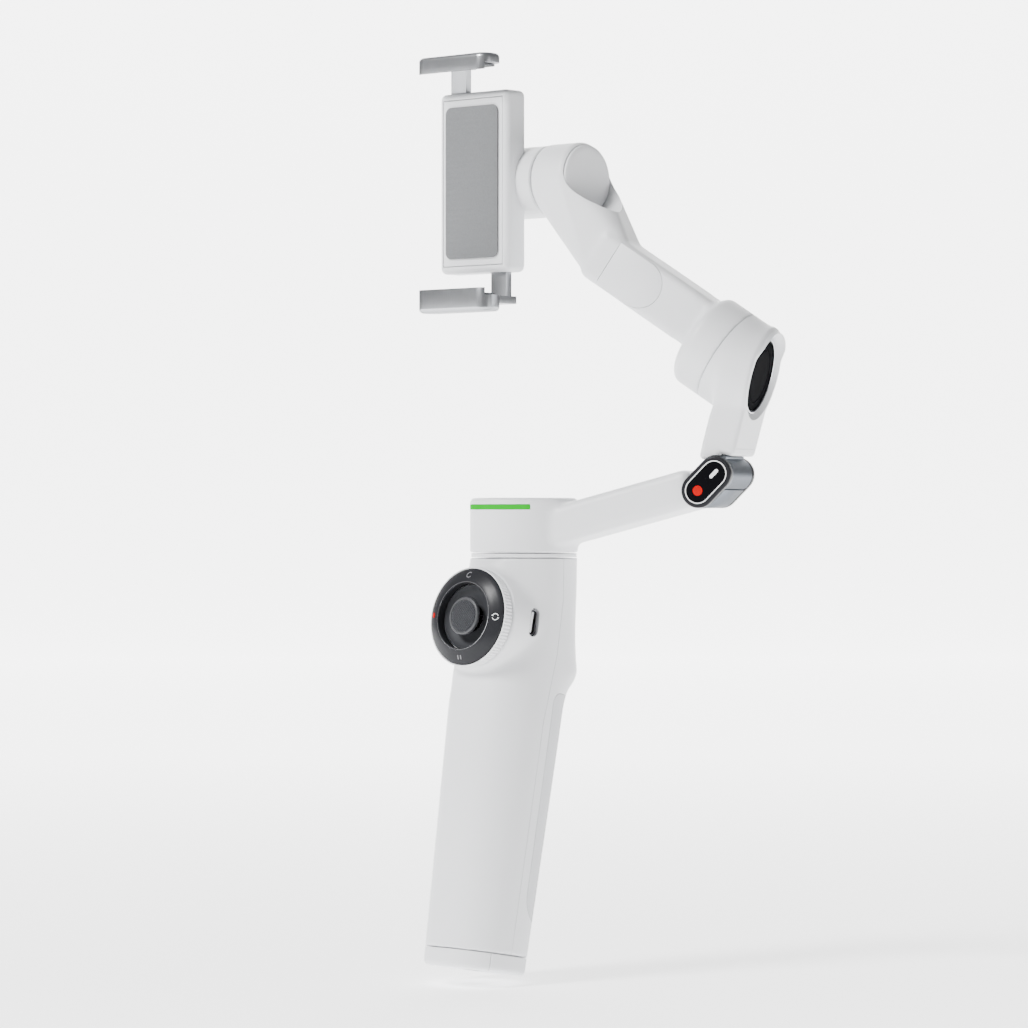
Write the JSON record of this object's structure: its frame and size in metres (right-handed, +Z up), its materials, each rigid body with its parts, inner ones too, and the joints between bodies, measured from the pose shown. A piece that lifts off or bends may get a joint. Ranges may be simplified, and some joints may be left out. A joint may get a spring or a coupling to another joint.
{
  "type": "gimbal stabilizer",
  "caption": "Handheld motorised stabilizer with a tilted grip, round pan head, folding roll arm and a spring-style phone clamp",
  "frame": {"origin": "centre of the grip's bottom face", "axes": "+Z up along the pan axis, controls face -Y, +X to the right seen from the controls"},
  "size_m": [0.1235, 0.0883, 0.3111],
  "materials": {
    "white_plastic": "satin moulded",
    "black_plastic": "smooth",
    "silver_aluminium": "fine satin anodised",
    "steel": "drawn",
    "copper_winding": "lacquered copper wire",
    "soft_rubber": "soft matt",
    "circuit_board": "solder mask",
    "green_light": "lit diffuser"
  },
  "bodies": {
    "handle": {"handle_front_shell": "white_plastic", "handle_rear_shell": "white_plastic", "rear_grip_pad": "soft_rubber", "handle_top_bush": "white_plastic", "rod_sleeve": "steel", "battery_pack": "black_plastic", "main_circuit_board": "circuit_board", "usb_c_socket": "steel", "control_board": "circuit_board", "joystick_base": "black_plastic", "joystick_dish": "black_plastic"},
    "tripod": {"tripod_hub": "black_plastic", "tripod_leg_1": "white_plastic", "tripod_leg_2": "white_plastic", "tripod_leg_3": "white_plastic"},
    "rod_1": {"rod_stage_1": "steel"},
    "rod_2": {"rod_stage_2": "steel"},
    "rod_3": {"rod_stage_3": "steel"},
    "rod_4": {"rod_stage_4": "steel", "pan_collar": "white_plastic", "pan_stator": "copper_winding", "pan_bearing": "steel"},
    "head": {"head_housing": "white_plastic", "head_cap": "white_plastic", "light_strip": "green_light", "pan_rotor": "steel", "pan_shaft": "steel", "hinge_block": "silver_aluminium", "hinge_front_cap": "black_plastic", "hinge_rear_cap": "black_plastic", "hinge_pin": "steel"},
    "roll_arm": {"hinge_knuckle": "silver_aluminium", "roll_arm": "white_plastic", "roll_stator": "copper_winding", "roll_rear_disc": "black_plastic", "roll_rear_ring": "silver_aluminium"},
    "tilt_arm": {"roll_rotor_housing": "white_plastic", "roll_rotor": "steel", "tilt_arm": "white_plastic", "tilt_arm_cover": "white_plastic", "tilt_stator": "copper_winding", "tilt_end_cap": "white_plastic"},
    "clamp": {"clamp_body": "white_plastic", "clamp_cover": "white_plastic", "clamp_pad": "soft_rubber", "tilt_rotor": "steel"},
    "upper_jaw": {"upper_jaw": "silver_aluminium", "upper_jaw_pad": "soft_rubber"},
    "lower_jaw": {"lower_jaw": "silver_aluminium", "lower_jaw_pad": "soft_rubber"},
    "pinion": {"jaw_pinion": "steel"},
    "dial": {"control_dial": "white_plastic"},
    "ring_carrier": {"ring_carrier": "black_plastic"},
    "button_ring": {"button_ring": "black_plastic"},
    "yoke": {"joystick_yoke": "steel"},
    "stick": {"joystick_stem": "steel", "joystick_cap": "black_plastic"},
    "trigger": {"trigger_button": "white_plastic"}
  },
  "joints": [
    {"name": "tripod_slide", "type": "slide", "parent": "handle", "child": "tripod", "axis": [0, -0.1788, -0.9839], "range_m": [0, 0.048]},
    {"name": "rod_slide_1", "type": "slide", "parent": "handle", "child": "rod_1", "axis": [0, 0.1788, 0.9839], "range_m": [0, 0.0525]},
    {"name": "rod_slide_2", "type": "slide", "parent": "rod_1", "child": "rod_2", "axis": [0, 0.1788, 0.9839], "range_m": [0, 0.0525]},
    {"name": "rod_slide_3", "type": "slide", "parent": "rod_2", "child": "rod_3", "axis": [0, 0.1788, 0.9839], "range_m": [0, 0.0525]},
    {"name": "rod_slide_4", "type": "slide", "parent": "rod_3", "child": "rod_4", "axis": [0, 0.1788, 0.9839], "range_m": [0, 0.0525]},
    {"name": "pan", "type": "hinge", "parent": "rod_4", "child": "head", "pos_m": [0, 0.02514, 0.13833], "axis": [0, 0, 1], "continuous": true},
    {"name": "fold", "type": "hinge", "parent": "head", "child": "roll_arm", "pos_m": [0.06657, 0.05204, 0.16583], "axis": [-0.3746, 0.9272, 0], "range_deg": [0, 120]},
    {"name": "roll", "type": "hinge", "parent": "roll_arm", "child": "tilt_arm", "pos_m": [0.06685, 0.05215, 0.20503], "axis": [-0.7678, -0.3102, 0.5606], "range_deg": [-120, 120]},
    {"name": "tilt", "type": "hinge", "parent": "tilt_arm", "child": "clamp", "pos_m": [0, 0.03714, 0.26583], "axis": [1, 0, 0], "range_deg": [-80, 80]},
    {"name": "upper_jaw_slide", "type": "slide", "parent": "clamp", "child": "upper_jaw", "axis": [0, 0, 1], "range_m": [-0.00635, 0.00365]},
    {"name": "lower_jaw_slide", "type": "slide", "parent": "clamp", "child": "lower_jaw", "axis": [0, 0, -1], "range_m": [-0.00635, 0.00365]},
    {"name": "pinion_turn", "type": "hinge", "parent": "clamp", "child": "pinion", "pos_m": [-0.0198, 0.02514, 0.26583], "axis": [0, 1, 0], "range_deg": [-68, 40]},
    {"name": "dial_turn", "type": "hinge", "parent": "handle", "child": "dial", "pos_m": [0, -0.00094, 0.11787], "axis": [0, -0.9839, 0.1788], "continuous": true},
    {"name": "ring_tilt_side", "type": "hinge", "parent": "handle", "child": "ring_carrier", "pos_m": [0, -0.00109, 0.11789], "axis": [0, 0.1788, 0.9839], "range_deg": [-1, 1], "stiffness_Nm_per_rad": 0.5},
    {"name": "ring_tilt_up", "type": "hinge", "parent": "ring_carrier", "child": "button_ring", "pos_m": [0, -0.00109, 0.11789], "axis": [1, 0, 0], "range_deg": [-1, 1], "stiffness_Nm_per_rad": 0.5},
    {"name": "stick_tilt_up", "type": "hinge", "parent": "handle", "child": "yoke", "pos_m": [0, 0.00634, 0.11654], "axis": [1, 0, 0], "range_deg": [-9, 9], "stiffness_Nm_per_rad": 0.03},
    {"name": "stick_tilt_side", "type": "hinge", "parent": "yoke", "child": "stick", "pos_m": [0, 0.00634, 0.11654], "axis": [0, 0.1788, 0.9839], "range_deg": [-9, 9], "stiffness_Nm_per_rad": 0.03},
    {"name": "trigger_press", "type": "slide", "parent": "handle", "child": "trigger", "axis": [0, -1, 0], "range_m": [0, 0.0018], "stiffness_N_per_m": 400, "springref_m": -0.002}
  ],
  "couplings": [
    {"joint": "rod_slide_2", "follows": "rod_slide_1", "ratio": 1},
    {"joint": "rod_slide_3", "follows": "rod_slide_1", "ratio": 1},
    {"joint": "rod_slide_4", "follows": "rod_slide_1", "ratio": 1},
    {"joint": "lower_jaw_slide", "follows": "upper_jaw_slide", "ratio": 1},
    {"joint": "pinion_turn", "follows": "upper_jaw_slide", "rad_per_m": 185}
  ]
}
